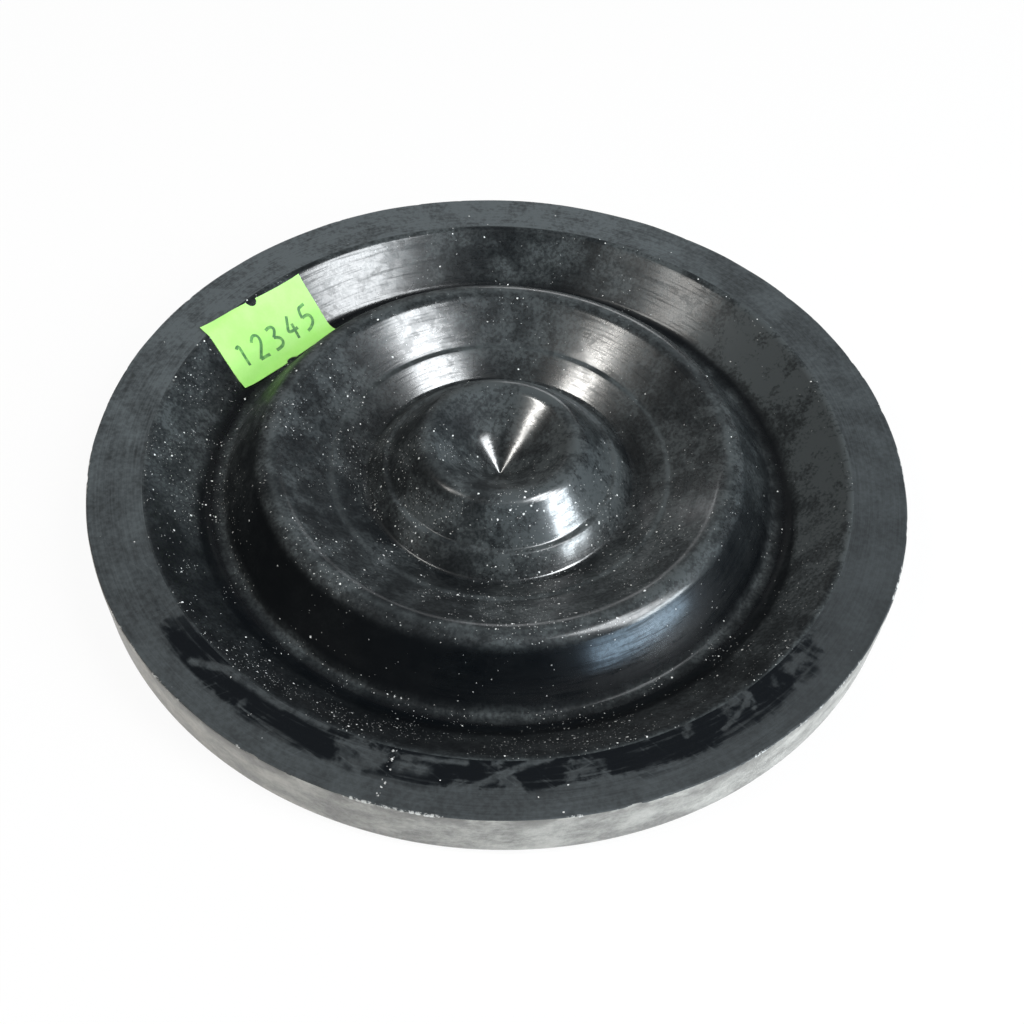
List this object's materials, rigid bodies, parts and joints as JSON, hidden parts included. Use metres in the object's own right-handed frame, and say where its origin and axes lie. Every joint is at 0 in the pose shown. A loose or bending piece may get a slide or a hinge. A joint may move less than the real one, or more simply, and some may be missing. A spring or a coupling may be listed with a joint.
{
  "type": "pump diaphragm",
  "caption": "Round moulded rubber pump diaphragm with a flat clamping rim, a ring-shaped flexing ridge and a dimpled middle boss, and a small paper price label.",
  "frame": {"origin": "on the disc's axis, in the plane of the seat face under the rim", "axes": "+Z along the disc's axis, out of the side with the bowl and the boss; the label lies at 147 degrees from +X towards +Y"},
  "size_m": [0.155, 0.155, 0.0137],
  "materials": {
    "black_rubber": "moulded, half gloss in the bowl, dull and scuffed on the rim",
    "label_paper": "fluorescent yellow-green paper, slightly sheened"
  },
  "bodies": {
    "root": {"diaphragm": "black_rubber", "price_label": "label_paper"}
  },
  "joints": []
}
